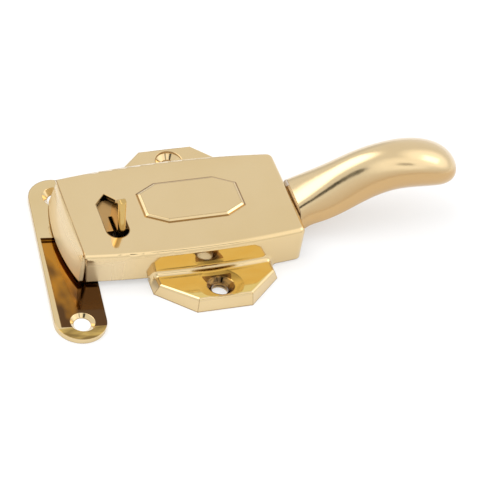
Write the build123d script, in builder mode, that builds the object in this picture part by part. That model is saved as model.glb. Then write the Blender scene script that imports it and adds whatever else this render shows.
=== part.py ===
"""Cabinet catch: a stamped case with screw ears, a cast pull handle and a keeper plate.

Millimetres. The origin is midway between the two ear screws, on the mounting plane. +X runs
from the nose, over the keeper, to the tip of the handle. +Y runs along the line of the ear
screws. +Z points away from the door.
"""

from build123d import *
from math import cos, pi, radians, sin, sqrt, tan
import os

os.makedirs("parts", exist_ok=True)

# Keeper plate
KEEPER_THICKNESS = 1.25
KEEPER_HALF_WIDTH = 5.6
KEEPER_SPACING = 36.9
KEEPER_END_TO_SCREW = 5.3
KEEPER_SCREW_OFFSET = 0.4
KEEPER_TURN_DEG = 6.4
KEEPER_SCREW_FROM_NOSE = -2.65
KEEPER_SCREW_Y = -22.7
POCKET_NEAR_RIM = 1.3
POCKET_FAR_RIM = 0.8
POCKET_NEAR_DEPTH = 0.3
POCKET_FAR_DEPTH = 0.8
POCKET_BEFORE_SCREW = 1.6
POCKET_END_TO_SCREW = 12.35

# Strike that the bolt's nose catches under
STRIKE_HALF_LENGTH = 4.0
STRIKE_WALL = 1.3
STRIKE_INSET = 1.6
STRIKE_LEDGE = 0.75
STRIKE_LEDGE_REACH = 1.85

# Screw holes, for a small countersunk wood screw
SCREW_HOLE_RADIUS = 1.8
COUNTERSINK_RADIUS = 3.0
COUNTERSINK_ANGLE = 90
DIMPLE_WALL = 0.8

# Sheet metal case
SHEET = 0.9
CASE_HEIGHT = 9.05
CASE_LENGTH = 49.5
NOSE_TO_EAR = 28.6
NOSE_WIDTH = 24.2
WAIST_WIDTH = 27.4
END_WIDTH = 24.6
WAIST_FROM_NOSE = 22.0
TOP_BEND_RADIUS = 1.3
END_CORNER_RADIUS = 1.6
WALL_OVER_KEEPER = 0.25
END_WALL_FOOT = 0.4

# Nose flange, which leans and bows out towards its foot
FLANGE_FOOT = 1.85
FLANGE_LEAN = 0.7
FLANGE_FOOT_BOW = 1.7
FLANGE_TOP_BOW = 0.3
FLANGE_BEND_RADIUS = 0.9
SLIT_TOP_WIDTH = 0.45
SLIT_FOOT_WIDTH = 1.15

# Screw ears, each half an octagon with a flared skirt: half width, shoulder, reach, edge
EAR_TOP = 2.9
EAR_TILT_DEG = 5.5
EAR_FOOT_OUTLINE = (13.95, 16.9, 23.65, 6.2)
EAR_TOP_OUTLINE = (12.8, 17.1, 23.0, 5.95)
EAR_CORNER_INSET = 0.4
EAR_ROOT_RADIUS = 1.2
EAR_RIM_RADIUS = 0.8
EAR_DISH_RADIUS = 5.0
EAR_DISH_FLOOR_RADIUS = 2.4
EAR_DISH_DEPTH = 0.3
EAR_SCREW_SPACING = 38.2

# Raised octagonal panel on the case's top
PANEL_LENGTH = 22.8
PANEL_WIDTH = 12.3
PANEL_CUT_X = 4.7
PANEL_CUT_Y = 2.6
PANEL_RISE = 0.5
PANEL_BEVEL_DEG = 60
PANEL_FROM_NOSE = 27.15
PANEL_OFFSET_Y = 0.7

# Window for the thumb fin, with a pointed far end and a round near end
WINDOW_WIDTH = 5.0
WINDOW_FROM_NOSE = 9.0
WINDOW_APEX_Y = 5.4
WINDOW_EAVE_Y = 2.7
WINDOW_NEAR_Y = -5.35

# Thumb slide: a plate under the window, with a fin set in its slot
SLIDE_CLEARANCE = 0.3
SLIDE_PLATE = 1.0
SLIDE_PLATE_WIDTH = 7.0
SLIDE_FAR_Y = 4.7
SLIDE_NEAR_Y = -4.5
SLIDE_TRAVEL = 3.5
SLIDE_SLOT_GAP = 0.4
FIN_THICKNESS = 1.65
FIN_OFFSET = 0.75
FIN_NEAR_Y = -6.9
FIN_FAR_Y = -0.2
FIN_RISE = 6.6
FIN_LEAN = 2.4
FIN_FAR_RISE = 3.2
FIN_CROWN = 1.4
FIN_BULGE = 0.15
FIN_ROUNDING = 0.75
FIN_EDGE_ROUNDING = 0.5

# Tray that carries the slide, and the bowed leaf spring that holds it by friction
TRAY_SHEET = 0.8
TRAY_FROM_NOSE = 4.5
TRAY_END_FROM_NOSE = 14.8
TRAY_END_GAP = 1.2
LEAF_THICKNESS = 0.12
LEAF_WIDTH = 1.6
LEAF_LENGTH = 8.0
LEAF_CLEARANCE = 0.03

# Inner frame
FRAME_SHEET = 0.8
FRAME_TO_TRAY = 0.4
CHEEK_INSIDE = 7.2
CHEEK_FOOT = 0.5
WEB_TO_PIN = 3.5
LIP_WIDTH = 1.9
LIP_START = 0.8

# Handle lever and its pivot
PIVOT_TO_END = 5.5
PIVOT_DROP = 1.95
PIN_RADIUS = 1.25
RUNNING_FIT = 0.03
CHEEK_PAST_PIN = 3.6
HUB_RADIUS = 1.72
HUB_HALF_WIDTH = 6.4
COLLAR_CLEARANCE = 0.1
NECK_HALF_WIDTH = 4.7
NECK_HALF_DEPTH = 0.6
NECK_REACH = 10.5
LEVER_SWING_DEG = 18.0
SHOULDER_CLEARANCE = 0.4
SHOULDER_DEPTH = 0.75
FINGER_WIDTH = 2.0
FINGER_HALF_LENGTH = 2.5
FINGER_PAST_BOLT = 0.25

# Latch bolt
BOLT_PLATE = 1.0
BOLT_OVER_KEEPER = 0.25
BOLT_FROM_NOSE = 4.2
BOLT_NOSE_HALF_WIDTH = 3.5
BOLT_SHOULDER_FROM_NOSE = 15.0
BOLT_SIDE_CLEARANCE = 0.4
BOLT_PAST_PIN = 3.0
SLOT_CLEARANCE = 0.4
BOLT_LUG_FROM_NOSE = 16.5
BOLT_LUG_SPARE = 0.45
PEG_RADIUS = 1.2
PEG_LENGTH = 5.0

# Bolt spring and its anchor, riveted under the frame's web
SPRING_WIRE = 0.5
SPRING_MEAN_RADIUS = 1.85
SPRING_TURNS = 8
SPRING_CLEARANCE = 0.25
SPRING_SEAT = 0.05
ANCHOR_FROM_NOSE = 30.0
ANCHOR_HALF_WIDTH = 2.7
ANCHOR_FOOT_LENGTH = 4.5
RIVET_RADIUS = 0.6
RIVET_HEAD_RADIUS = 1.0
RIVET_HEAD = 0.35
RIVET_SPACING = 3.0

# Stations of the cast handle: distance past the case's end, height above the pivot, rise in
# degrees, half width, half depth, squareness from 0 to 1, and how much narrower the top is
HANDLE_STATIONS = [
    (1.4, -1.15, 24, 6.1, 3.5, 0.80, 0.20),
    (5.0, 0.65, 25, 5.9, 3.9, 0.70, 0.26),
    (11.0, 3.50, 26, 5.7, 4.7, 0.40, 0.34),
    (17.0, 6.05, 19, 5.6, 5.2, 0.10, 0.25),
    (22.5, 7.10, 6, 5.7, 5.2, 0.0, 0.12),
    (28.0, 6.85, -8, 5.9, 5.0, 0.0, 0.0),
    (32.5, 5.95, -18, 5.7, 4.4, 0.0, 0.0),
    (35.4, 4.90, -22, 4.9, 3.5, 0.0, 0.0),
    (37.1, 4.20, -25, 3.5, 2.3, 0.0, 0.0),
    (37.7, 3.95, -26, 1.6, 1.1, 0.0, 0.0),
]
SECTION_POINTS = 16

# Levels and places that follow from the sizes above
NOSE_X = -NOSE_TO_EAR
END_X = NOSE_X + CASE_LENGTH
PIVOT_X = END_X - PIVOT_TO_END
INSIDE_TOP = CASE_HEIGHT - SHEET
NOSE_WALL_FOOT = KEEPER_THICKNESS + WALL_OVER_KEEPER
EAR_SCREW_Y = EAR_SCREW_SPACING / 2
WEB_FOOT = INSIDE_TOP - FRAME_SHEET
CHEEK_OUTSIDE = CHEEK_INSIDE + FRAME_SHEET
PIVOT_HEIGHT = INSIDE_TOP - PIVOT_DROP
SLIDE_FOOT = INSIDE_TOP - SLIDE_CLEARANCE - SLIDE_PLATE
TRAY_TOP = SLIDE_FOOT - SLIDE_CLEARANCE
TRAY_START_X = NOSE_X + TRAY_FROM_NOSE
TRAY_END_X = NOSE_X + TRAY_END_FROM_NOSE
TRAY_HALF_WIDTH = SLIDE_FAR_Y + SLIDE_TRAVEL + TRAY_END_GAP + TRAY_SHEET
FRAME_START_X = TRAY_END_X + FRAME_TO_TRAY
BOLT_FOOT = KEEPER_THICKNESS + BOLT_OVER_KEEPER
BOLT_TOP = BOLT_FOOT + BOLT_PLATE
BOLT_END_X = PIVOT_X + BOLT_PAST_PIN
BOLT_TRAVEL = (PIVOT_HEIGHT - (BOLT_FOOT + BOLT_TOP) / 2) * radians(LEVER_SWING_DEG)
LUG_FACE_X = NOSE_X + BOLT_LUG_FROM_NOSE + BOLT_PLATE
SPRING_HEIGHT = BOLT_TOP + SPRING_CLEARANCE + SPRING_WIRE / 2 + SPRING_MEAN_RADIUS
ANCHOR_X = NOSE_X + ANCHOR_FROM_NOSE
RIVET_X = ANCHOR_X + FRAME_SHEET + ANCHOR_FOOT_LENGTH / 2
WINDOW_X = NOSE_X + WINDOW_FROM_NOSE
FIN_X = WINDOW_X + FIN_OFFSET
PIN_LINE = Plane.XZ * Location((PIVOT_X, PIVOT_HEIGHT, 0))


def block(x_limits, y_limits, z_limits, mode=Mode.ADD):
    """Add or cut a box that is given by its limits along each axis."""
    limits = (x_limits, y_limits, z_limits)
    with Locations(tuple((low + high) / 2 for low, high in limits)):
        Box(*[high - low for low, high in limits], mode=mode)


def barrel(inset):
    """Return the case's plan, with bowed sides, taken in by inset all round."""
    near_x, far_x = NOSE_X + inset, END_X - inset
    nose, end, waist = (width / 2 - inset for width in (NOSE_WIDTH, END_WIDTH, WAIST_WIDTH))
    waist_x = NOSE_X + WAIST_FROM_NOSE
    with BuildSketch() as plan:
        with BuildLine():
            Line((near_x, -nose), (near_x, nose))
            ThreePointArc((near_x, nose), (waist_x, waist), (far_x, end))
            Line((far_x, end), (far_x, -end))
            ThreePointArc((far_x, -end), (waist_x, -waist), (near_x, -nose))
        make_face()
    return plan.sketch


def half_octagon(side, outline, inset=0.0):
    """Return one screw ear's outline, which starts inside the case, taken in by inset."""
    half, shoulder, reach, edge = outline
    half, reach = half - inset, reach - inset
    shoulder, edge = shoulder - EAR_CORNER_INSET * inset, edge - EAR_CORNER_INSET * inset
    root = NOSE_WIDTH / 2 - SHEET
    right_side = [(half, root), (half, shoulder), (edge, reach)]
    left_side = [(-x, y) for x, y in reversed(right_side)]
    with BuildSketch() as ear:
        Polygon(*right_side, *left_side, rotation=90 - 90 * side, align=None)
    return ear.sketch


def ear_plane(side):
    """Return the plane of an ear's top, which rises a little towards the ear's outer edge."""
    tilt = radians(EAR_TILT_DEG)
    middle = EAR_TOP - EAR_SCREW_Y * tan(tilt)
    return Plane(origin=(0, 0, middle), x_dir=(1, 0, 0), z_dir=(0, -side * sin(tilt), cos(tilt)))


def flange_section(lean, bow, half_width):
    """Return one level of the nose flange: a strip of sheet that leans and bows towards -X."""
    outside_x = NOSE_X - lean
    inside_x = outside_x + SHEET
    with BuildSketch() as strip:
        with BuildLine():
            ThreePointArc((outside_x, -half_width), (outside_x - bow, 0), (outside_x, half_width))
            Line((outside_x, half_width), (inside_x, half_width))
            ThreePointArc((inside_x, half_width), (inside_x - bow, 0), (inside_x, -half_width))
            Line((inside_x, -half_width), (outside_x, -half_width))
        make_face()
    return strip.sketch


def cut_octagon(length, width):
    """Return a rectangle with the panel's corners cut off."""
    x, y = length / 2, width / 2
    upper = [(x, y - PANEL_CUT_Y), (x - PANEL_CUT_X, y), (PANEL_CUT_X - x, y), (-x, y - PANEL_CUT_Y)]
    with BuildSketch() as octagon:
        Polygon(*upper, *[(-a, -b) for a, b in upper], align=None)
    return octagon.sketch


def handle_section(half_width, half_depth, squareness, top_taper):
    """Return one section of the handle: an oval that can be squarer and narrower on top."""
    power = 1 - squareness / 2
    points = []
    for step in range(SECTION_POINTS):
        angle = 2 * pi * (step + 0.5) / SECTION_POINTS
        side, up = cos(angle), sin(angle)
        across = half_width * (1 if side > 0 else -1) * abs(side) ** power
        height = (1 if up > 0 else -1) * abs(up) ** power
        points.append((across * (1 - top_taper * height), half_depth * height))
    with BuildSketch() as oval:
        with BuildLine():
            Spline(*points, periodic=True)
        make_face()
    return oval.sketch


def around_pivot(radius, angle_deg):
    """Return the point in the XZ plane at a radius and angle about the pivot."""
    angle = radians(angle_deg)
    return (PIVOT_X + radius * cos(angle), PIVOT_HEIGHT + radius * sin(angle))


# Nose flange, folded down from the case's top and part of the same sheet
with BuildPart() as nose_flange:
    with BuildSketch(Plane.XY.offset(FLANGE_FOOT)):
        add(flange_section(FLANGE_LEAN, FLANGE_FOOT_BOW, NOSE_WIDTH / 2))
    with BuildSketch(Plane.XY.offset(CASE_HEIGHT)):
        add(flange_section(0, FLANGE_TOP_BOW, NOSE_WIDTH / 2 - TOP_BEND_RADIUS))
    loft(ruled=True)
    fillet(nose_flange.edges().group_by(Axis.Z)[-1].sort_by(Axis.X)[0], FLANGE_BEND_RADIUS)

# Case: one folded and pressed sheet, with its ears, window and panel
with BuildPart() as case:
    with BuildSketch():
        add(barrel(0))
    extrude(amount=CASE_HEIGHT)
    end_corners = case.edges().filter_by(Axis.Z).group_by(Axis.X)[-1]
    fillet(end_corners, END_CORNER_RADIUS)
    top_rim = case.faces().sort_by(Axis.Z)[-1].edges()
    fillet(top_rim.sort_by(Axis.X)[1:], TOP_BEND_RADIUS)
    for side in (1, -1):
        with BuildSketch():
            add(half_octagon(side, EAR_FOOT_OUTLINE))
        with BuildSketch(ear_plane(side)):
            add(half_octagon(side, EAR_TOP_OUTLINE))
        loft(ruled=True)
    ear_tops = case.faces().filter_by_position(Axis.Z, EAR_TOP - SHEET / 2, EAR_TOP + SHEET / 2)
    fillet(ear_tops.edges().filter_by(GeomType.LINE), EAR_RIM_RADIUS)
    ear_roots = case.edges().filter_by(GeomType.ELLIPSE).filter_by_position(Axis.Z, 0, EAR_TOP)
    fillet(ear_roots, EAR_ROOT_RADIUS)
    with BuildSketch():
        add(barrel(SHEET))
    extrude(amount=INSIDE_TOP, mode=Mode.SUBTRACT)
    for side in (1, -1):
        with BuildSketch():
            add(half_octagon(side, EAR_FOOT_OUTLINE, SHEET))
        with BuildSketch(ear_plane(side).offset(-SHEET)):
            add(half_octagon(side, EAR_TOP_OUTLINE, SHEET))
        loft(ruled=True, mode=Mode.SUBTRACT)
    # The handle end is open, and the walls stop short of the mounting plane
    wide = (-WAIST_WIDTH, WAIST_WIDTH)
    inside_end = END_WIDTH / 2 - SHEET
    ear_half_width = EAR_FOOT_OUTLINE[0]
    block((END_X - 2 * SHEET, END_X + SHEET), (-inside_end, inside_end), (0, INSIDE_TOP), Mode.SUBTRACT)
    block((NOSE_X - SHEET, -ear_half_width), wide, (0, NOSE_WALL_FOOT), Mode.SUBTRACT)
    block((ear_half_width, END_X + SHEET), wide, (0, END_WALL_FOOT), Mode.SUBTRACT)
    # A slit opens beside the flange, because the walls are cut back at the nose
    with BuildSketch(Plane.XZ):
        with BuildLine():
            Polyline(
                (NOSE_X - SHEET, 0),
                (NOSE_X + SLIT_FOOT_WIDTH, 0),
                (NOSE_X + SLIT_TOP_WIDTH, INSIDE_TOP),
                (NOSE_X - SHEET, INSIDE_TOP),
                close=True,
            )
        make_face()
    extrude(amount=NOSE_WIDTH, both=True, mode=Mode.SUBTRACT)
    add(nose_flange.part)
    # Window
    with BuildSketch(Plane.XY.offset(INSIDE_TOP)):
        with BuildLine():
            half = WINDOW_WIDTH / 2
            near_left = (WINDOW_X - half, WINDOW_NEAR_Y)
            near_right = (WINDOW_X + half, WINDOW_NEAR_Y)
            Polyline(
                near_left,
                (WINDOW_X - half, WINDOW_EAVE_Y),
                (WINDOW_X, WINDOW_APEX_Y),
                (WINDOW_X + half, WINDOW_EAVE_Y),
                near_right,
            )
            ThreePointArc(near_right, (WINDOW_X, WINDOW_NEAR_Y - half), near_left)
        make_face()
    extrude(amount=SHEET, mode=Mode.SUBTRACT)
    # Panel, raised outside and hollow inside
    for level, inset, mode in ((CASE_HEIGHT, 0, Mode.ADD), (INSIDE_TOP, SHEET, Mode.SUBTRACT)):
        with BuildSketch(Plane.XY.offset(level)):
            with Locations((NOSE_X + PANEL_FROM_NOSE, PANEL_OFFSET_Y)):
                add(cut_octagon(PANEL_LENGTH - inset, PANEL_WIDTH - inset))
        extrude(amount=PANEL_RISE, taper=PANEL_BEVEL_DEG, mode=mode)
    # Countersunk screw holes, in shallow dishes and in dimples pressed down to the mounting plane
    with Locations((0, EAR_SCREW_Y, 0), (0, -EAR_SCREW_Y, 0)):
        Cylinder(
            COUNTERSINK_RADIUS + DIMPLE_WALL,
            EAR_TOP - SHEET / 2,
            align=(Align.CENTER, Align.CENTER, Align.MIN),
        )
    for side in (1, -1):
        with Locations(ear_plane(side) * Location((0, side * EAR_SCREW_Y / cos(radians(EAR_TILT_DEG)), 0))):
            Cone(
                EAR_DISH_FLOOR_RADIUS,
                2 * EAR_DISH_RADIUS - EAR_DISH_FLOOR_RADIUS,
                2 * EAR_DISH_DEPTH,
                mode=Mode.SUBTRACT,
            )
    dish_level = EAR_TOP - EAR_DISH_DEPTH
    with Locations((0, EAR_SCREW_Y, dish_level), (0, -EAR_SCREW_Y, dish_level)):
        CounterSinkHole(SCREW_HOLE_RADIUS, COUNTERSINK_RADIUS, counter_sink_angle=COUNTERSINK_ANGLE)
case.part.label = "case"

# Inner frame: a web under the case's top, cheeks for the pivot pin, lips under the bolt
with BuildPart() as inner_frame:
    web_end_x = PIVOT_X - WEB_TO_PIN
    block((FRAME_START_X, web_end_x), (-CHEEK_OUTSIDE, CHEEK_OUTSIDE), (WEB_FOOT, INSIDE_TOP))
    for inner, outer, lip in (
        (CHEEK_INSIDE, CHEEK_OUTSIDE, CHEEK_INSIDE - LIP_WIDTH),
        (-CHEEK_INSIDE, -CHEEK_OUTSIDE, LIP_WIDTH - CHEEK_INSIDE),
    ):
        cheek = tuple(sorted((inner, outer)))
        block((FRAME_START_X, PIVOT_X + CHEEK_PAST_PIN), cheek, (CHEEK_FOOT, INSIDE_TOP))
        lip_limits = tuple(sorted((lip, outer)))
        block((FRAME_START_X + LIP_START, web_end_x), lip_limits, (CHEEK_FOOT, CHEEK_FOOT + FRAME_SHEET))
    with Locations(PIN_LINE):
        Cylinder(PIN_RADIUS + RUNNING_FIT, 3 * CHEEK_OUTSIDE, mode=Mode.SUBTRACT)
    with Locations((RIVET_X, 0, 0)):
        with GridLocations(0, RIVET_SPACING, 1, 2):
            Cylinder(RIVET_RADIUS + RUNNING_FIT, 3 * CASE_HEIGHT, mode=Mode.SUBTRACT)
inner_frame.part.label = "inner_frame"

# Pivot pin, flush with the frame's cheeks, and a collar on it at each side of the hub
with BuildPart() as lever_pivot_pin:
    with BuildSketch(Plane.XZ):
        with Locations((PIVOT_X, PIVOT_HEIGHT)):
            Circle(PIN_RADIUS)
    extrude(amount=CHEEK_OUTSIDE, both=True)
lever_pivot_pin.part.label = "lever_pivot_pin"

collars = {}
for name, side in (("far_collar", 1), ("near_collar", -1)):
    with BuildPart() as collar:
        with BuildSketch(Plane.XZ.offset(-side * (HUB_HALF_WIDTH + COLLAR_CLEARANCE))):
            with Locations((PIVOT_X, PIVOT_HEIGHT)):
                Circle(HUB_RADIUS)
                Circle(PIN_RADIUS + RUNNING_FIT, mode=Mode.SUBTRACT)
        extrude(amount=-side * (CHEEK_INSIDE - HUB_HALF_WIDTH - 2 * COLLAR_CLEARANCE))
    collar.part.label = name
    collars[name] = collar.part

# Handle lever: the cast handle, its neck, its hub and the finger that draws the bolt
with BuildPart() as handle_lever:
    for past_end, height, rise, half_width, half_depth, squareness, top_taper in HANDLE_STATIONS:
        station = Plane(
            origin=(END_X + past_end, 0, PIVOT_HEIGHT + height),
            x_dir=(0, 1, 0),
            z_dir=(cos(radians(rise)), 0, sin(radians(rise))),
        )
        with BuildSketch(station):
            add(handle_section(half_width, half_depth, squareness, top_taper))
    loft()
    # Neck, which passes over the end of the bolt
    with BuildSketch(Plane.XZ):
        with BuildLine():
            neck_end_x = PIVOT_X + NECK_REACH
            neck_foot = BOLT_TOP - NECK_HALF_DEPTH
            past_bolt_x = BOLT_END_X + 2 * FINGER_WIDTH * SLOT_CLEARANCE
            Polyline(
                around_pivot(HUB_RADIUS, 90),
                (PIVOT_X + BOLT_PAST_PIN, PIVOT_HEIGHT + NECK_HALF_DEPTH),
                (END_X + SHOULDER_CLEARANCE, PIVOT_HEIGHT - SHOULDER_DEPTH),
                (neck_end_x, PIVOT_HEIGHT - SHOULDER_DEPTH),
                (neck_end_x, neck_foot + BOLT_PLATE),
                (past_bolt_x + BOLT_PAST_PIN, neck_foot),
                (past_bolt_x, neck_foot),
                (PIVOT_X + FINGER_WIDTH, BOLT_TOP + BOLT_PLATE),
                around_pivot(HUB_RADIUS, -90),
                close=True,
            )
        make_face()
    extrude(amount=NECK_HALF_WIDTH, both=True)
    with BuildSketch(Plane.XZ):
        with Locations((PIVOT_X, PIVOT_HEIGHT)):
            Circle(HUB_RADIUS)
    extrude(amount=HUB_HALF_WIDTH, both=True)
    block(
        (PIVOT_X - FINGER_WIDTH / 2, PIVOT_X + FINGER_WIDTH / 2),
        (-FINGER_HALF_LENGTH, FINGER_HALF_LENGTH),
        (BOLT_FOOT - FINGER_PAST_BOLT, PIVOT_HEIGHT),
    )
    # Shoulder, cut round the pivot so that the handle swings clear of the case's end
    shoulder_radius = SHOULDER_CLEARANCE + sqrt(PIVOT_TO_END**2 + (CASE_HEIGHT - PIVOT_HEIGHT) ** 2)
    with BuildSketch(Plane.XZ):
        with BuildLine():
            low = around_pivot(shoulder_radius, -6.5)
            high = around_pivot(shoulder_radius, 80)
            ThreePointArc(low, around_pivot(shoulder_radius, 37), high)
            Polyline(
                high,
                around_pivot(HUB_RADIUS + RUNNING_FIT, 90),
                (PIVOT_X + BOLT_PAST_PIN, PIVOT_HEIGHT + NECK_HALF_DEPTH),
                low,
            )
        make_face()
    extrude(amount=2 * HUB_HALF_WIDTH, both=True, mode=Mode.SUBTRACT)
    with Locations(PIN_LINE):
        Cylinder(PIN_RADIUS + RUNNING_FIT, 4 * HUB_HALF_WIDTH, mode=Mode.SUBTRACT)
handle_lever.part.label = "handle_lever"

# Latch bolt: a flat plate with a slot for the lever's finger and a lug for the spring's peg
with BuildPart() as latch_bolt:
    tail_half_width = CHEEK_INSIDE - BOLT_SIDE_CLEARANCE
    half_outline = [
        (NOSE_X + BOLT_FROM_NOSE, BOLT_NOSE_HALF_WIDTH),
        (NOSE_X + BOLT_SHOULDER_FROM_NOSE, BOLT_NOSE_HALF_WIDTH),
        (NOSE_X + BOLT_LUG_FROM_NOSE, tail_half_width),
        (BOLT_END_X, tail_half_width),
    ]
    with BuildSketch(Plane.XY.offset(BOLT_FOOT)):
        Polygon(*half_outline, *[(x, -y) for x, y in reversed(half_outline)], align=None)
        with Locations((PIVOT_X, 0)):
            Rectangle(
                FINGER_WIDTH + 2 * SLOT_CLEARANCE,
                2 * (FINGER_HALF_LENGTH + SLOT_CLEARANCE),
                mode=Mode.SUBTRACT,
            )
    extrude(amount=BOLT_PLATE)
    lug_top = WEB_FOOT - BOLT_LUG_SPARE
    lug_across = (-ANCHOR_HALF_WIDTH, ANCHOR_HALF_WIDTH)
    block((LUG_FACE_X - BOLT_PLATE, LUG_FACE_X), lug_across, (BOLT_FOOT, lug_top))
    with BuildSketch(Plane.YZ.offset(LUG_FACE_X - BOLT_PLATE)):
        with Locations((0, SPRING_HEIGHT)):
            Circle(PEG_RADIUS)
    extrude(amount=BOLT_PLATE, mode=Mode.SUBTRACT)
latch_bolt.part.label = "latch_bolt"

# Peg, riveted into the bolt's lug, which keeps the spring straight
with BuildPart() as spring_peg:
    with BuildSketch(Plane.YZ.offset(LUG_FACE_X - BOLT_PLATE)):
        with Locations((0, SPRING_HEIGHT)):
            Circle(PEG_RADIUS)
    extrude(amount=BOLT_PLATE + PEG_LENGTH)
spring_peg.part.label = "spring_peg"

# Spring anchor: an angle under the frame's web, and its pair of rivets
with BuildPart() as spring_anchor:
    across = (-ANCHOR_HALF_WIDTH, ANCHOR_HALF_WIDTH)
    block((ANCHOR_X, ANCHOR_X + FRAME_SHEET), across, (SPRING_HEIGHT - SPRING_MEAN_RADIUS, WEB_FOOT))
    foot_end_x = ANCHOR_X + FRAME_SHEET + ANCHOR_FOOT_LENGTH
    block((ANCHOR_X, foot_end_x), across, (WEB_FOOT - FRAME_SHEET, WEB_FOOT))
    with Locations((RIVET_X, 0, 0)):
        with GridLocations(0, RIVET_SPACING, 1, 2):
            Cylinder(RIVET_RADIUS + RUNNING_FIT, 3 * CASE_HEIGHT, mode=Mode.SUBTRACT)
spring_anchor.part.label = "spring_anchor"

with BuildPart() as anchor_rivets:
    head_level = WEB_FOOT - FRAME_SHEET - RIVET_HEAD
    for level, radius, length in (
        (head_level, RIVET_HEAD_RADIUS, RIVET_HEAD),
        (head_level + RIVET_HEAD, RIVET_RADIUS, 2 * FRAME_SHEET),
    ):
        with BuildSketch(Plane.XY.offset(level)):
            with Locations((RIVET_X, 0)):
                with GridLocations(0, RIVET_SPACING, 1, 2):
                    Circle(radius)
        extrude(amount=length)
anchor_rivets.part.label = "anchor_rivets"

# Bolt spring, as long as it is with the bolt drawn back
with BuildPart() as bolt_spring:
    spring_start = LUG_FACE_X + BOLT_TRAVEL + SPRING_SEAT + SPRING_WIRE
    spring_length = ANCHOR_X - SPRING_SEAT - SPRING_WIRE - spring_start
    with BuildLine():
        coil = Helix(
            pitch=spring_length / SPRING_TURNS,
            height=spring_length,
            radius=SPRING_MEAN_RADIUS,
            center=(spring_start, 0, SPRING_HEIGHT),
            direction=(1, 0, 0),
        )
    with BuildSketch(Plane(origin=coil @ 0, z_dir=coil % 0)):
        Circle(SPRING_WIRE / 2)
    sweep(is_frenet=True)
bolt_spring.part.label = "bolt_spring"

# Slide tray: a folded shelf that hangs from the case's top under the window
with BuildPart() as slide_tray:
    tray_foot = TRAY_TOP - TRAY_SHEET
    across = (-TRAY_HALF_WIDTH, TRAY_HALF_WIDTH)
    inside = TRAY_HALF_WIDTH - TRAY_SHEET
    block((TRAY_START_X, TRAY_END_X), across, (tray_foot, INSIDE_TOP))
    block((TRAY_START_X, TRAY_END_X - TRAY_SHEET), (-inside, inside), (TRAY_TOP, INSIDE_TOP), Mode.SUBTRACT)
slide_tray.part.label = "slide_tray"

# Leaf spring, bowed up under the slide plate
with BuildPart() as slide_spring:
    leaf_x = WINDOW_X - SLIDE_PLATE_WIDTH / 2 + LEAF_CLEARANCE
    leaf_top = SLIDE_FOOT - LEAF_CLEARANCE
    leaf_end_top = TRAY_TOP + LEAF_THICKNESS
    half = LEAF_LENGTH / 2
    with BuildSketch(Plane.YZ.offset(leaf_x)):
        with BuildLine():
            ThreePointArc((-half, leaf_end_top), (0, leaf_top), (half, leaf_end_top))
            Line((half, leaf_end_top), (half, TRAY_TOP))
            ThreePointArc((half, TRAY_TOP), (0, leaf_top - LEAF_THICKNESS), (-half, TRAY_TOP))
            Line((-half, TRAY_TOP), (-half, leaf_end_top))
        make_face()
    extrude(amount=LEAF_WIDTH)
slide_spring.part.label = "slide_spring"

# Slide plate, with a round far end and a slot for the fin
with BuildPart() as slide_plate:
    with BuildSketch(Plane.XY.offset(SLIDE_FOOT)):
        with BuildLine():
            half = SLIDE_PLATE_WIDTH / 2
            far_left = (WINDOW_X - half, SLIDE_FAR_Y - half / 2)
            far_right = (WINDOW_X + half, SLIDE_FAR_Y - half / 2)
            Polyline(far_right, (WINDOW_X + half, SLIDE_NEAR_Y), (WINDOW_X - half, SLIDE_NEAR_Y), far_left)
            ThreePointArc(far_left, (WINDOW_X, SLIDE_FAR_Y), far_right)
        make_face()
    extrude(amount=SLIDE_PLATE)
    slot_left = FIN_X - FIN_THICKNESS / 2 - SLIDE_SLOT_GAP
    block(
        (slot_left, FIN_X + FIN_THICKNESS / 2),
        (SLIDE_NEAR_Y - SLIDE_PLATE, FIN_FAR_Y),
        (SLIDE_FOOT, SLIDE_FOOT + SLIDE_PLATE),
        Mode.SUBTRACT,
    )
slide_plate.part.label = "slide_plate"

# Thumb fin, which stands up through the window
with BuildPart() as thumb_fin:
    with BuildSketch(Plane.YZ.offset(FIN_X)):
        with BuildLine():
            crown = CASE_HEIGHT + FIN_RISE
            far_crown = CASE_HEIGHT + FIN_FAR_RISE
            near_crown_y = FIN_NEAR_Y + FIN_LEAN
            crown_y = near_crown_y + FIN_CROWN
            bulge = ((crown_y + FIN_FAR_Y) / 2 + FIN_BULGE, (crown + far_crown) / 2 + FIN_BULGE)
            Polyline(
                (FIN_FAR_Y, far_crown),
                (FIN_FAR_Y, SLIDE_FOOT),
                (FIN_NEAR_Y, SLIDE_FOOT),
                (near_crown_y, crown),
                (crown_y, crown),
            )
            ThreePointArc((crown_y, crown), bulge, (FIN_FAR_Y, far_crown))
        make_face()
    extrude(amount=FIN_THICKNESS / 2, both=True)
    # The edges that the thumb meets are rounded, most of all on the nose's side
    left_face = thumb_fin.faces().filter_by(Axis.X).sort_by(Axis.X)[0]
    fillet(left_face.edges().sort_by(Axis.Z)[-3:], FIN_ROUNDING)
    right_face = thumb_fin.faces().filter_by(Axis.X).sort_by(Axis.X)[-1]
    fillet(right_face.edges().sort_by(Axis.Y)[0], FIN_EDGE_ROUNDING)
thumb_fin.part.label = "thumb_fin"

# Keeper plate, made square to its own near screw and then turned into place
open_side_x = KEEPER_HALF_WIDTH - KEEPER_SCREW_OFFSET
strike_x = open_side_x - STRIKE_INSET - STRIKE_WALL
strike_foot = (strike_x, strike_x + STRIKE_WALL)
strike_length = (KEEPER_SPACING / 2 - STRIKE_HALF_LENGTH, KEEPER_SPACING / 2 + STRIKE_HALF_LENGTH)
keeper_place = Location((NOSE_X + KEEPER_SCREW_FROM_NOSE, KEEPER_SCREW_Y, 0), (0, 0, -KEEPER_TURN_DEG))

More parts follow.
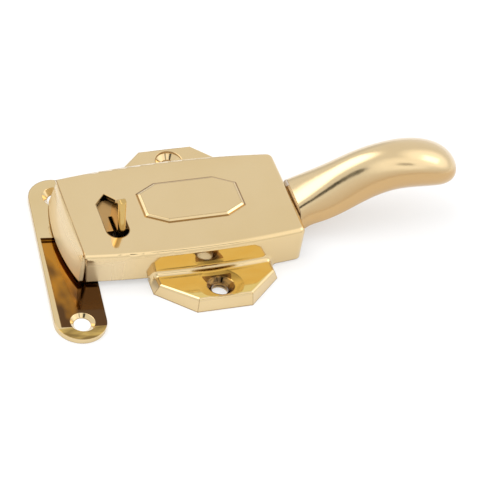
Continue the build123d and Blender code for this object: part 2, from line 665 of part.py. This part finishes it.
with BuildPart() as keeper_plate:
    with BuildSketch():
        with Locations((-KEEPER_SCREW_OFFSET, KEEPER_SPACING / 2)):
            SlotOverall(KEEPER_SPACING + 2 * KEEPER_END_TO_SCREW, 2 * KEEPER_HALF_WIDTH, rotation=90)
    extrude(amount=KEEPER_THICKNESS)
    # Pocket, open along one side, wider and deeper towards its far end
    pocket_end = KEEPER_SPACING - POCKET_END_TO_SCREW
    for y, rim, depth in (
        (-POCKET_BEFORE_SCREW, POCKET_NEAR_RIM, POCKET_NEAR_DEPTH),
        (pocket_end, POCKET_FAR_RIM, POCKET_FAR_DEPTH),
    ):
        with BuildSketch(Plane.XZ.offset(-y)):
            with Locations((rim + open_side_x - 2 * KEEPER_HALF_WIDTH, KEEPER_THICKNESS - depth)):
                Rectangle(2 * KEEPER_HALF_WIDTH, 2 * KEEPER_THICKNESS, align=Align.MIN)
    loft(ruled=True, mode=Mode.SUBTRACT)
    block(strike_foot, strike_length, (0, KEEPER_THICKNESS), Mode.SUBTRACT)
    with Locations((0, 0, KEEPER_THICKNESS), (0, KEEPER_SPACING, KEEPER_THICKNESS)):
        CounterSinkHole(SCREW_HOLE_RADIUS, COUNTERSINK_RADIUS, counter_sink_angle=COUNTERSINK_ANGLE)
keeper_plate.part.location = keeper_place
keeper_plate.part.label = "keeper_plate"

# Strike, set in the keeper's slot, with a ledge over the nose of the bolt
with BuildPart() as keeper_strike:
    ledge_foot = BOLT_TOP + BOLT_OVER_KEEPER
    strike_top = ledge_foot + STRIKE_LEDGE
    block(strike_foot, strike_length, (0, strike_top))
    ledge = (strike_x, strike_x + STRIKE_WALL + STRIKE_LEDGE_REACH)
    block(ledge, strike_length, (ledge_foot, strike_top))
keeper_strike.part.location = keeper_place
keeper_strike.part.label = "keeper_strike"

export_step(case.part, "parts/case.step")
export_step(inner_frame.part, "parts/inner_frame.step")
export_step(lever_pivot_pin.part, "parts/lever_pivot_pin.step")
for name, part in collars.items():
    export_step(part, f"parts/{name}.step")
export_step(handle_lever.part, "parts/handle_lever.step")
export_step(latch_bolt.part, "parts/latch_bolt.step")
export_step(spring_peg.part, "parts/spring_peg.step")
export_step(spring_anchor.part, "parts/spring_anchor.step")
export_step(anchor_rivets.part, "parts/anchor_rivets.step")
export_step(bolt_spring.part, "parts/bolt_spring.step")
export_step(slide_tray.part, "parts/slide_tray.step")
export_step(slide_spring.part, "parts/slide_spring.step")
export_step(slide_plate.part, "parts/slide_plate.step")
export_step(thumb_fin.part, "parts/thumb_fin.step")
export_step(keeper_plate.part, "parts/keeper_plate.step")
export_step(keeper_strike.part, "parts/keeper_strike.step")
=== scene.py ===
"""Looks of a polished brass cabinet catch, with its handle, thumb fin and keeper plate.

Lengths are metres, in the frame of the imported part: +X runs from the keeper to the tip of the
handle, +Y along the line of the ear screws and +Z out of the door.
"""

import logging
import math
from dataclasses import dataclass
from enum import Enum

import bpy
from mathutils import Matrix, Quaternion, Vector


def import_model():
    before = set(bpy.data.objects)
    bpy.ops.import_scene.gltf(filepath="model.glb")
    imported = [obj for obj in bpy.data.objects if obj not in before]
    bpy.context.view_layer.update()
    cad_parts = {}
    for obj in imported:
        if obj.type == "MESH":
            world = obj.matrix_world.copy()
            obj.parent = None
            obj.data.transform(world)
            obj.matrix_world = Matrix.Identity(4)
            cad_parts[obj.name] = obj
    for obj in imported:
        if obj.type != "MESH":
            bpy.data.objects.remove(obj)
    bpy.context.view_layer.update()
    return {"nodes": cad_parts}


log = logging.getLogger("cabinet_catch")

MM = 0.001

FACING_TOLERANCE = 0.001
PAINTED_TONE_NOISE = (1.6, 2.0)
PAINTED_TONE_MIDDLE = 0.49
BEVEL_SAMPLES = 16
PATCH_LIMITS = (0.4, 0.75)
FLANK_SHADE_LIMITS = (0.40, 0.64)
CREASE_SHADE_LIMITS = (0.965, 0.995)
SMEAR_LIMITS = (0.3, 0.7)
HAIRLINE_STRETCH = (1.0, 14.0, 14.0)


class Part(Enum):
    """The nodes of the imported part."""

    CASE = "case"
    FRAME = "inner_frame"
    PIN = "lever_pivot_pin"
    FAR_COLLAR = "far_collar"
    NEAR_COLLAR = "near_collar"
    LEVER = "handle_lever"
    BOLT = "latch_bolt"
    PEG = "spring_peg"
    ANCHOR = "spring_anchor"
    RIVETS = "anchor_rivets"
    COIL = "bolt_spring"
    TRAY = "slide_tray"
    LEAF = "slide_spring"
    SLIDE = "slide_plate"
    FIN = "thumb_fin"
    KEEPER = "keeper_plate"
    STRIKE = "keeper_strike"


def noise(
    tree: bpy.types.NodeTree, place: bpy.types.NodeSocket, scale: float, detail: float
) -> bpy.types.NodeSocket:
    """Return soft noise at a place, for a scale in cycles a metre and a number of octaves."""
    texture = tree.nodes.new("ShaderNodeTexNoise")
    texture.inputs["Scale"].default_value = scale
    texture.inputs["Detail"].default_value = detail
    tree.links.new(place, texture.inputs["Vector"])
    return texture.outputs["Fac"]


def ramp(
    tree: bpy.types.NodeTree,
    value: bpy.types.NodeSocket,
    given: tuple[float, float],
    wanted: tuple[float, float],
) -> bpy.types.NodeSocket:
    """Return a value that is carried from the given limits to the wanted ones."""
    node = tree.nodes.new("ShaderNodeMapRange")
    node.inputs["From Min"].default_value, node.inputs["From Max"].default_value = given
    node.inputs["To Min"].default_value, node.inputs["To Max"].default_value = wanted
    tree.links.new(value, node.inputs["Value"])
    return node.outputs["Result"]


def combine(
    tree: bpy.types.NodeTree, operation: str, first: bpy.types.NodeSocket, second: bpy.types.NodeSocket
) -> bpy.types.NodeSocket:
    """Return the result of one sum on two values."""
    node = tree.nodes.new("ShaderNodeMath")
    node.operation = operation
    tree.links.new(first, node.inputs[0])
    tree.links.new(second, node.inputs[1])
    return node.outputs["Value"]


def blend(
    tree: bpy.types.NodeTree,
    share: bpy.types.NodeSocket,
    first: tuple[float, float, float] | bpy.types.NodeSocket,
    second: tuple[float, float, float] | bpy.types.NodeSocket,
) -> bpy.types.NodeSocket:
    """Return the first colour, mixed with a share of the second."""
    node = tree.nodes.new("ShaderNodeMix")
    node.data_type = "RGBA"
    tree.links.new(share, node.inputs["Factor"])
    for socket, colour in (("A", first), ("B", second)):
        if isinstance(colour, tuple):
            node.inputs[socket].default_value = (*colour, 1.0)
        else:
            tree.links.new(colour, node.inputs[socket])
    return node.outputs["Result"]


def bump(
    tree: bpy.types.NodeTree, height: bpy.types.NodeSocket, scale: float, normal: bpy.types.NodeSocket
) -> bpy.types.NodeSocket:
    """Return a normal with relief of a height in metres laid over it."""
    node = tree.nodes.new("ShaderNodeBump")
    node.inputs["Strength"].default_value = 1.0
    node.inputs["Distance"].default_value = scale
    tree.links.new(height, node.inputs["Height"])
    tree.links.new(normal, node.inputs["Normal"])
    return node.outputs["Normal"]


@dataclass(frozen=True)
class Zone:
    """A box that bounds one place on a surface, in the part's frame.

    Attributes:
        low: Low corner of the box.
        high: High corner of the box.
        firmness: Share of the way from its middle to its sides where it starts to fade.
    """

    low: tuple[float, float, float]
    high: tuple[float, float, float]
    firmness: float = 0.999

    def reach(self, tree: bpy.types.NodeTree, place: bpy.types.NodeSocket) -> bpy.types.NodeSocket:
        """Measure how far a place lies from the box's middle.

        Args:
            tree: The material's nodes.
            place: The place on the surface.

        Returns:
            The distance along each axis, as a share of the box's half size.
        """
        offset = tree.nodes.new("ShaderNodeVectorMath")
        offset.operation = "SUBTRACT"
        offset.inputs[1].default_value = tuple((a + b) / 2 for a, b in zip(self.low, self.high))
        tree.links.new(place, offset.inputs[0])
        reach = tree.nodes.new("ShaderNodeVectorMath")
        reach.operation = "DIVIDE"
        reach.inputs[1].default_value = tuple((b - a) / 2 for a, b in zip(self.low, self.high))
        tree.links.new(offset.outputs["Vector"], reach.inputs[0])
        return reach.outputs["Vector"]

    def inside(self, tree: bpy.types.NodeTree, reach: bpy.types.NodeSocket) -> bpy.types.NodeSocket:
        """Mask the box.

        Args:
            tree: The material's nodes.
            reach: What the method of that name returns.

        Returns:
            1 in the box, and 0 outside it.
        """
        outermost = tree.nodes.new("ShaderNodeVectorMath")
        outermost.operation = "ABSOLUTE"
        tree.links.new(reach, outermost.inputs[0])
        axes = tree.nodes.new("ShaderNodeSeparateXYZ")
        tree.links.new(outermost.outputs["Vector"], axes.inputs["Vector"])
        furthest = combine(tree, "MAXIMUM", axes.outputs["X"], axes.outputs["Y"])
        furthest = combine(tree, "MAXIMUM", furthest, axes.outputs["Z"])
        return ramp(tree, furthest, (self.firmness, 1.0), (1.0, 0.0))


@dataclass(frozen=True)
class PaintedLight:
    """A painted tone in one place of a metal surface: painted shade, a painted reflection, and in the
    keeper's recess a darker finish with painted shade.

    Attributes:
        zone: Where it is.
        pale: Linear colour where the painted tone is lightest.
        dark: Linear colour where it is deepest.
        upward: How much a face has to look up to take the painted tone, from -1 to 1.
        fade_along_y: How much lighter the painted tone gets from -Y to +Y.
        softness: How far the noise wanders between the lightest and the deepest painted tone.
    """

    zone: Zone
    pale: tuple[float, float, float]
    dark: tuple[float, float, float]
    upward: float = -1.0
    fade_along_y: float = 0.0
    softness: float = 0.22

    def lay(self, tree: bpy.types.NodeTree, clean: bpy.types.NodeSocket) -> bpy.types.NodeSocket:
        """Lay the painted tone over a colour.

        Args:
            tree: The material's nodes.
            clean: Colour of the surface without the painted tone.

        Returns:
            The colour with the painted tone on it.
        """
        place = tree.nodes.new("ShaderNodeTexCoord")
        reach = self.zone.reach(tree, place.outputs["Object"])
        inside = self.zone.inside(tree, reach)
        covered = combine(tree, "MULTIPLY", inside, self.above(tree, place.outputs["Normal"]))
        along = tree.nodes.new("ShaderNodeSeparateXYZ")
        tree.links.new(reach, along.inputs["Vector"])
        lost = ramp(tree, along.outputs["Y"], (-1.0, 1.0), (-self.fade_along_y, self.fade_along_y))
        tone_depth = combine(tree, "SUBTRACT", noise(tree, reach, *PAINTED_TONE_NOISE), lost)
        limits = (PAINTED_TONE_MIDDLE - self.softness / 2, PAINTED_TONE_MIDDLE + self.softness / 2)
        deepened = ramp(tree, tone_depth, limits, (0.0, 1.0))
        # Here lacquer is the painted tone of this mark, not the clear coat of the finish.
        lacquer = blend(tree, deepened, self.pale, self.dark)
        return blend(tree, covered, clean, lacquer)

    def above(self, tree: bpy.types.NodeTree, normal: bpy.types.NodeSocket) -> bpy.types.NodeSocket:
        """Return 1 where a face looks up far enough, and 0 elsewhere.

        Args:
            tree: The material's nodes.
            normal: The surface's normal in the part's frame.

        Returns:
            The mask.
        """
        split = tree.nodes.new("ShaderNodeSeparateXYZ")
        tree.links.new(normal, split.inputs["Vector"])
        looks_up = tree.nodes.new("ShaderNodeMath")
        looks_up.operation = "GREATER_THAN"
        looks_up.inputs[1].default_value = self.upward - FACING_TOLERANCE
        tree.links.new(split.outputs["Z"], looks_up.inputs[0])
        return looks_up.outputs["Value"]


@dataclass(frozen=True)
class SatinWithPaintedSheen:
    """A rougher place, less mirror-like than the polished metal round it, with a pale colour painted over
    it as a reflection of the white tent.

    Attributes:
        zone: Where it is.
        colour: Linear pale colour painted over it as a reflection of the white tent.
        mirrored: Share of the light that it still mirrors.
        roughness: Its roughness.
    """

    zone: Zone
    colour: tuple[float, float, float]
    mirrored: float
    roughness: float


@dataclass(frozen=True)
class MetalFinish:
    """A metal surface with polishing waves, hairlines, clear lacquer, a little tarnish, and painted shade
    and reflections in given places.

    Attributes:
        name: Name of the material.
        colour: Linear base colour of the clean metal.
        tarnish: Linear colour that the metal drifts to in soft patches, and that the flanks take as
            painted shade.
        tarnish_share: How far the patches go towards the tarnish colour.
        roughness: Mean roughness.
        roughness_spread: How much the roughness wanders about its mean.
        wave_height: Height of the polishing waves, in metres.
        wave_size: Distance between polishing waves, in metres.
        grain_height: Height of the fine hairlines, in metres.
        edge_radius: Radius over which sharp folds look rounded, in metres.
        lacquer: Share of the surface's clear lacquer.
        flank_shade_share: How far faces that don't look up go towards the tarnish colour, as painted
            shade.
        crease_shade: Linear colour of the painted shade along sharp edges and creases.
        crease_shade_share: How far sharp edges and creases go towards that painted shade.
        painted_marks: Places with painted shade, painted reflections, and in the keeper's recess a darker
            finish.
        satin: A rougher, less mirror-like place with a painted pale reflection, if there is one.
    """

    name: str
    colour: tuple[float, float, float]
    tarnish: tuple[float, float, float]
    tarnish_share: float = 0.25
    roughness: float = 0.08
    roughness_spread: float = 0.03
    wave_height: float = 0.02 * MM
    wave_size: float = 7.0 * MM
    grain_height: float = 0.0006 * MM
    edge_radius: float = 0.25 * MM
    lacquer: float = 0.8
    flank_shade_share: float = 0.0
    crease_shade: tuple[float, float, float] = (0.30, 0.17, 0.05)
    crease_shade_share: float = 0.0
    painted_marks: tuple[PaintedLight, ...] = ()
    satin: SatinWithPaintedSheen | None = None

    def material(self) -> bpy.types.Material:
        """Make the finish as a node material.

        Returns:
            The new material.
        """
        material = bpy.data.materials.new(self.name)
        material.use_nodes = True
        tree = material.node_tree
        shader = tree.nodes["Principled BSDF"]
        shader.inputs["Metallic"].default_value = 1.0
        shader.inputs["Coat Weight"].default_value = self.lacquer
        place = tree.nodes.new("ShaderNodeTexCoord")
        rounded = tree.nodes.new("ShaderNodeBevel")
        rounded.samples = BEVEL_SAMPLES
        rounded.inputs["Radius"].default_value = self.edge_radius
        colour = self.tinted(tree, place, rounded.outputs["Normal"])
        # Lay the painted shade and painted reflections of this finish.
        for painted_mark in self.painted_marks:
            colour = painted_mark.lay(tree, colour)

        smear = noise(tree, place.outputs["Object"], 2.2 / self.wave_size, 5.0)
        low, high = self.roughness - self.roughness_spread, self.roughness + self.roughness_spread
        roughness = ramp(tree, smear, SMEAR_LIMITS, (low, high))
        # A rougher zone whose pale colour is a painted reflection.
        if self.satin:
            zone = self.satin.zone
            satin_and_sheen_mask = zone.inside(tree, zone.reach(tree, place.outputs["Object"]))
            colour = blend(tree, satin_and_sheen_mask, colour, self.satin.colour)
            metallic = ramp(tree, satin_and_sheen_mask, (0.0, 1.0), (1.0, self.satin.mirrored))
            tree.links.new(metallic, shader.inputs["Metallic"])
            brushed_roughness = ramp(tree, satin_and_sheen_mask, (0.0, 1.0), (0.0, self.satin.roughness))
            roughness = combine(tree, "MAXIMUM", roughness, brushed_roughness)
        tree.links.new(colour, shader.inputs["Base Color"])
        tree.links.new(roughness, shader.inputs["Roughness"])

        waves = noise(tree, place.outputs["Object"], 1.0 / self.wave_size, 1.5)
        broad = bump(tree, waves, self.wave_height, rounded.outputs["Normal"])
        stretch = tree.nodes.new("ShaderNodeMapping")
        stretch.inputs["Scale"].default_value = HAIRLINE_STRETCH
        tree.links.new(place.outputs["Object"], stretch.inputs["Vector"])
        hairlines = noise(tree, stretch.outputs["Vector"], 4.0 / self.wave_size, 4.0)
        tree.links.new(bump(tree, hairlines, self.grain_height, broad), shader.inputs["Normal"])
        return material

    def tinted(
        self, tree: bpy.types.NodeTree, place: bpy.types.Node, rounded: bpy.types.NodeSocket
    ) -> bpy.types.NodeSocket:
        """Mix the clean colour with tarnish in patches, darken the flanks towards the tarnish colour as
        painted shade, and paint shade along sharp edges and creases.

        Args:
            tree: The material's nodes.
            place: The texture coordinates.
            rounded: The normal with rounded edges.

        Returns:
            The surface's colour.
        """
        patches = noise(tree, place.outputs["Object"], 0.35 / self.wave_size, 3.0)
        share = ramp(tree, patches, PATCH_LIMITS, (0.0, self.tarnish_share))
        # Painted shade: faces that don't look up drift towards the tarnish colour.
        if self.flank_shade_share:
            up = tree.nodes.new("ShaderNodeSeparateXYZ")
            tree.links.new(place.outputs["Normal"], up.inputs["Vector"])
            flank_shade = ramp(tree, up.outputs["Z"], FLANK_SHADE_LIMITS, (self.flank_shade_share, 0.0))
            share = combine(tree, "MAXIMUM", share, flank_shade)
        colour = blend(tree, share, self.colour, self.tarnish)
        # Painted shade along sharp edges and creases, where the rounded normal leaves the flat one.
        if not self.crease_shade_share:
            return colour
        flat = tree.nodes.new("ShaderNodeNewGeometry")
        agreement = tree.nodes.new("ShaderNodeVectorMath")
        agreement.operation = "DOT_PRODUCT"
        tree.links.new(rounded, agreement.inputs[0])
        tree.links.new(flat.outputs["Normal"], agreement.inputs[1])
        crease_shading = ramp(tree, agreement.outputs["Value"], CREASE_SHADE_LIMITS, (self.crease_shade_share, 0.0))
        return blend(tree, crease_shading, colour, self.crease_shade)


# Painted shade: dark tone on the cut edges of the window in the case top.
WINDOW_CUT_SHADE = PaintedLight(
    Zone((-22.3 * MM, -8.1 * MM, 8.0 * MM), (-16.9 * MM, 5.6 * MM, 9.02 * MM)),
    pale=(0.10, 0.06, 0.02),
    dark=(0.03, 0.018, 0.006),
)
# Painted shade: dark tone in the near ear's countersink.
NEAR_COUNTERSINK_SHADE = PaintedLight(
    Zone((-3.2 * MM, -22.3 * MM, 0.3 * MM), (3.2 * MM, -15.9 * MM, 2.55 * MM)),
    pale=(0.36, 0.19, 0.04),
    dark=(0.09, 0.045, 0.008),
)
# Painted reflection: deep gold on the upward faces of the near ear, as brass mirrored in brass.
NEAR_EAR_PAINTED_REFLECTION = PaintedLight(
    Zone((-12.5 * MM, -24.5 * MM, 1.0 * MM), (12.5 * MM, -12.6 * MM, 4.6 * MM)),
    pale=(0.74, 0.56, 0.19),
    dark=(0.72, 0.52, 0.15),
    upward=0.98,
)
# Painted shade: dark line at the foot of the octagonal panel.
PANEL_FOOT_SHADE = PaintedLight(
    Zone((-15.0 * MM, -6.5 * MM, 9.07 * MM), (12.0 * MM, 8.0 * MM, 9.26 * MM)),
    pale=(0.30, 0.15, 0.03),
    dark=(0.21, 0.10, 0.015),
)
# Painted reflection and shade: deep gold to brown tone on the keeper's near pad.
NEAR_PAD_REFLECTION_AND_SHADE = PaintedLight(
    Zone((-40.0 * MM, -30.0 * MM, 1.15 * MM), (-22.0 * MM, -24.2 * MM, 1.35 * MM)),
    pale=(0.58, 0.39, 0.11),
    dark=(0.26, 0.16, 0.04),
    upward=0.9,
)
# Darker finish of the keeper's recess floor, with painted shade that deepens towards its near end (-Y).
POCKET_FINISH_AND_SHADE = PaintedLight(
    Zone((-40.0 * MM, -26.0 * MM, 0.1 * MM), (-22.0 * MM, 6.0 * MM, 1.15 * MM)),
    pale=(0.46, 0.19, 0.010),
    dark=(0.090, 0.036, 0.004),
    upward=0.9,
    fade_along_y=0.12,
    softness=0.24,
)
POCKET_END_SHADE = PaintedLight(
    Zone((-34.2 * MM, 0.7 * MM, 0.2 * MM), (-22.9 * MM, 2.5 * MM, 1.22 * MM)),
    pale=(0.10, 0.05, 0.01),
    dark=(0.03, 0.015, 0.004),
)
# Rougher, less mirror-like nose and flange, with a pale colour painted over them as a reflection of the
# white tent.
NOSE_SATIN_AND_PAINTED_SHEEN = SatinWithPaintedSheen(
    Zone((-40.0 * MM, -22.0 * MM, -2.0 * MM), (-17.0 * MM, 22.0 * MM, 8.6 * MM), firmness=0.45),
    colour=(0.74, 0.58, 0.34),
    mirrored=0.4,
    roughness=0.36,
)
CASE_BRASS = MetalFinish(
    name="polished_case_brass",
    colour=(0.72, 0.55, 0.30),
    tarnish=(0.60, 0.41, 0.15),
    edge_radius=0.4 * MM,
    # Painted shade along sharp edges and creases.
    crease_shade_share=0.85,
    lacquer=0.5,
    painted_marks=(WINDOW_CUT_SHADE, NEAR_EAR_PAINTED_REFLECTION, NEAR_COUNTERSINK_SHADE, PANEL_FOOT_SHADE),
    satin=NOSE_SATIN_AND_PAINTED_SHEEN,
)
CAST_BRASS = MetalFinish(
    name="polished_cast_brass",
    colour=(0.71, 0.55, 0.31),
    tarnish=(0.52, 0.31, 0.11),
    # Painted shade on the flanks of the handle and collars.
    flank_shade_share=0.8,
    roughness=0.17,
    wave_height=0.03 * MM,
    wave_size=9.0 * MM,
)
# Darker, deeper gold brass for the fin and the slide spring.
FIN_BRASS = MetalFinish(
    name="deep_gold_fin_brass",
    colour=(0.58, 0.38, 0.11),
    tarnish=(0.44, 0.26, 0.05),
    tarnish_share=0.6,
    roughness=0.14,
)
SLIDE_BRASS = MetalFinish(
    name="dull_slide_brass",
    colour=(0.46, 0.28, 0.11),
    tarnish=(0.30, 0.17, 0.05),
    tarnish_share=0.6,
    roughness=0.30,
    lacquer=0.0,
)
KEEPER_BRASS = MetalFinish(
    name="keeper_brass",
    colour=(0.72, 0.56, 0.31),
    tarnish=(0.60, 0.41, 0.15),
    tarnish_share=0.4,
    lacquer=0.3,
    # Painted shade along sharp edges and creases.
    crease_shade_share=0.5,
    painted_marks=(POCKET_END_SHADE, POCKET_FINISH_AND_SHADE, NEAR_PAD_REFLECTION_AND_SHADE),
)
HIDDEN_STEEL = MetalFinish(
    name="plain_inner_steel",
    colour=(0.50, 0.46, 0.40),
    tarnish=(0.34, 0.29, 0.22),
    tarnish_share=0.6,
    roughness=0.32,
    lacquer=0.0,
)
# Painted shade: near-black tray, standing for the shade inside the case.
TRAY_PAINTED_SHADE = MetalFinish(
    name="tray_steel_painted_shade",
    colour=(0.030, 0.024, 0.018),
    tarnish=(0.015, 0.012, 0.009),
    tarnish_share=0.6,
    roughness=0.40,
    lacquer=0.0,
)
SPRING_WIRE = MetalFinish(
    name="drawn_spring_wire",
    colour=(0.55, 0.53, 0.50),
    tarnish=(0.42, 0.38, 0.33),
    roughness=0.25,
    lacquer=0.0,
)


def dress(parts: dict[str, bpy.types.Object], part: Part, material: bpy.types.Material) -> None:
    """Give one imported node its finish.

    Args:
        parts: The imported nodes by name.
        part: The node to dress.
        material: The finish.
    """
    piece = parts[part.value]
    piece.data.materials.clear()
    piece.data.materials.append(material)
    log.info("dressed %s with %s", part.value, material.name)


@dataclass
class PhotoCamera:
    """The camera, placed as it was for the photograph.

    Attributes:
        aim: Point on the camera's axis, in the middle of the object.
        distance: From that point to the lens.
        azimuth_deg: Turn of the line of sight from +Y towards +X.
        elevation_deg: How far the camera looks down.
        roll_deg: Tilt of the picture.
        lens_mm: Focal length on a sensor 36 mm wide.
    """

    aim: tuple[float, float, float] = (0.0072, -0.0091, 0.0050)
    distance: float = 0.6135
    azimuth_deg: float = 25.73
    elevation_deg: float = 44.01
    roll_deg: float = 11.27
    lens_mm: float = 215.0

    def build(self) -> bpy.types.Object:
        """Make the camera and look through it.

        Returns:
            The camera object.
        """
        turn, drop = math.radians(self.azimuth_deg), math.radians(self.elevation_deg)
        line = Vector((math.sin(turn) * math.cos(drop), math.cos(turn) * math.cos(drop), -math.sin(drop)))
        data = bpy.data.cameras.new("photo_camera")
        data.lens = self.lens_mm
        data.sensor_width = 36.0
        data.clip_start = 0.01
        camera = bpy.data.objects.new("photo_camera", data)
        camera.location = Vector(self.aim) - line * self.distance
        camera.rotation_mode = "QUATERNION"
        roll = Quaternion((0.0, 0.0, 1.0), math.radians(self.roll_deg))
        camera.rotation_quaternion = line.to_track_quat("-Z", "Y") @ roll
        bpy.context.scene.collection.objects.link(camera)
        bpy.context.scene.camera = camera
        return camera


def towards(azimuth_deg: float, elevation_deg: float) -> Vector:
    """Return the direction at an azimuth, from +Y towards +X, and an elevation."""
    turn, rise = math.radians(azimuth_deg), math.radians(elevation_deg)
    return Vector((math.sin(turn) * math.cos(rise), math.cos(turn) * math.cos(rise), math.sin(rise)))


@dataclass(frozen=True)
class Panel:
    """A round soft panel of the studio's white tent, brighter or darker than the rest.

    Attributes:
        azimuth_deg: Where it hangs, from +Y towards +X, seen from the object.
        elevation_deg: How high it hangs.
        core_deg: Angle from its middle to where it starts to fade.
        edge_deg: Angle from its middle to where it has faded into the tent.
        level: Its brightness.
    """

    azimuth_deg: float
    elevation_deg: float
    core_deg: float
    edge_deg: float
    level: float

    def hang(
        self, tree: bpy.types.NodeTree, sight: bpy.types.NodeSocket, tent: bpy.types.NodeSocket | float
    ) -> bpy.types.NodeSocket:
        """Hang the panel in front of the tent.

        Args:
            tree: The world's nodes.
            sight: The direction of each ray.
            tent: Brightness of what hangs behind.

        Returns:
            The brightness with the panel in it.
        """
        nearness = tree.nodes.new("ShaderNodeVectorMath")
        nearness.operation = "DOT_PRODUCT"
        nearness.inputs[1].default_value = towards(self.azimuth_deg, self.elevation_deg)
        tree.links.new(sight, nearness.inputs[0])
        fade = tree.nodes.new("ShaderNodeMapRange")
        fade.interpolation_type = "SMOOTHSTEP"
        fade.inputs["From Min"].default_value = math.cos(math.radians(self.edge_deg))
        fade.inputs["From Max"].default_value = math.cos(math.radians(self.core_deg))
        tree.links.new(nearness.outputs["Value"], fade.inputs["Value"])
        mix = tree.nodes.new("ShaderNodeMix")
        mix.data_type = "FLOAT"
        tree.links.new(fade.outputs["Result"], mix.inputs["Factor"])
        if isinstance(tent, float):
            mix.inputs["A"].default_value = tent
        else:
            tree.links.new(tent, mix.inputs["A"])
        mix.inputs["B"].default_value = self.level
        return mix.outputs["Result"]


@dataclass(frozen=True)
class SoftBox:
    """A square lamp that points at the object.

    Attributes:
        name: Name of the lamp.
        azimuth_deg: Where it stands, from +Y towards +X, seen from the object.
        elevation_deg: How high it stands.
        distance: From the object to the lamp.
        side: Side of the lamp.
        power: Light given off, in watts.
    """

    name: str
    azimuth_deg: float
    elevation_deg: float
    distance: float
    side: float
    power: float

    def build(self) -> bpy.types.Object:
        """Make the lamp.

        Returns:
            The lamp object.
        """
        direction = towards(self.azimuth_deg, self.elevation_deg)
        data = bpy.data.lights.new(self.name, "AREA")
        data.size = self.side
        data.energy = self.power
        lamp = bpy.data.objects.new(self.name, data)
        lamp.location = direction * self.distance
        lamp.rotation_mode = "QUATERNION"
        lamp.rotation_quaternion = (-direction).to_track_quat("-Z", "Y")
        bpy.context.scene.collection.objects.link(lamp)
        return lamp


@dataclass
class Studio:
    """A white table in a white tent, with brighter panels and a dark opening for the camera.

    Attributes:
        floor_size: Side of the floor.
        floor_drop: How far the floor lies below the mounting plane.
        floor_colour: Linear grey of the floor, seen by its own shade.
        floor_glow: Light that the thin table top lets through from below.
        tent: Brightness of the tent.
        panels: Panels that differ from the tent.
        lamps: The soft boxes.
    """

    floor_size: float = 6.0
    floor_drop: float = 0.02 * MM
    floor_colour: float = 0.50
    floor_glow: float = 0.46
    tent: float = 1.0
    panels: tuple[Panel, ...] = (
        Panel(-55.0, 60.0, 14.0, 32.0, 2.8),
        Panel(98.0, 40.0, 14.0, 36.0, 1.6),
        Panel(156.0, 46.0, 10.0, 30.0, 1.4),
        Panel(0.0, 5.0, 8.0, 26.0, 0.8),
        Panel(205.7, 44.0, 5.0, 10.0, 0.06),
        Panel(156.0, 43.0, 3.0, 7.0, 0.45),
    )
    lamps: tuple[SoftBox, ...] = (SoftBox("right_box", 100.0, 40.0, 1.2, 0.40, 0.6),)

    def world(self) -> None:
        """Make the tent with its panels."""
        world = bpy.data.worlds.new("white_tent")
        bpy.context.scene.world = world
        world.use_nodes = True
        tree = world.node_tree
        background = tree.nodes["Background"]
        background.inputs["Color"].default_value = (1.0, 1.0, 1.0, 1.0)
        sight = tree.nodes.new("ShaderNodeTexCoord").outputs["Generated"]
        level = self.tent
        for panel in self.panels:
            level = panel.hang(tree, sight, level)
        tree.links.new(level, background.inputs["Strength"])

    def floor(self) -> bpy.types.Object:
        """Make the white table top, which keeps a soft shadow.

        Returns:
            The floor object.
        """
        half = self.floor_size / 2
        mesh = bpy.data.meshes.new("table_top")
        corners = [(-half, -half, 0.0), (half, -half, 0.0), (half, half, 0.0), (-half, half, 0.0)]
        mesh.from_pydata(corners, [], [(0, 1, 2, 3)])
        floor = bpy.data.objects.new("table_top", mesh)
        floor.location.z = -self.floor_drop
        bpy.context.scene.collection.objects.link(floor)
        material = bpy.data.materials.new("white_table")
        material.use_nodes = True
        shader = material.node_tree.nodes["Principled BSDF"]
        shader.inputs["Base Color"].default_value = (*[self.floor_colour] * 3, 1.0)
        shader.inputs["Roughness"].default_value = 1.0
        shader.inputs["Specular IOR Level"].default_value = 0.0
        shader.inputs["Emission Color"].default_value = (1.0, 1.0, 1.0, 1.0)
        shader.inputs["Emission Strength"].default_value = self.floor_glow
        mesh.materials.append(material)
        return floor

    def build(self) -> None:
        """Make the room, the table and the lamps."""
        self.world()
        self.floor()
        for lamp in self.lamps:
            lamp.build()


@dataclass
class CatchDressing:
    """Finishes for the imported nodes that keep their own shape.

    Attributes:
        parts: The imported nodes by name.
    """

    parts: dict[str, bpy.types.Object]

    def build(self) -> None:
        """Dress each node with its finish."""
        finishes = {
            CASE_BRASS: (Part.CASE,),
            CAST_BRASS: (Part.LEVER, Part.FAR_COLLAR, Part.NEAR_COLLAR),
            FIN_BRASS: (Part.FIN, Part.LEAF),
            SLIDE_BRASS: (Part.SLIDE,),
            KEEPER_BRASS: (Part.KEEPER, Part.STRIKE, Part.RIVETS),
            HIDDEN_STEEL: (Part.FRAME, Part.PIN, Part.BOLT, Part.PEG, Part.ANCHOR),
            TRAY_PAINTED_SHADE: (Part.TRAY,),
            SPRING_WIRE: (Part.COIL,),
        }
        for finish, dressed in finishes.items():
            material = finish.material()
            for part in dressed:
                dress(self.parts, part, material)


def main() -> None:
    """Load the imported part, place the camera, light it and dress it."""
    logging.basicConfig(level=logging.INFO, format="%(name)s: %(message)s")
    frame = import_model()
    scene = bpy.context.scene
    scene.view_settings.view_transform = "Standard"
    PhotoCamera().build()
    Studio().build()
    CatchDressing(frame["nodes"]).build()


if __name__ == "__main__":
    main()
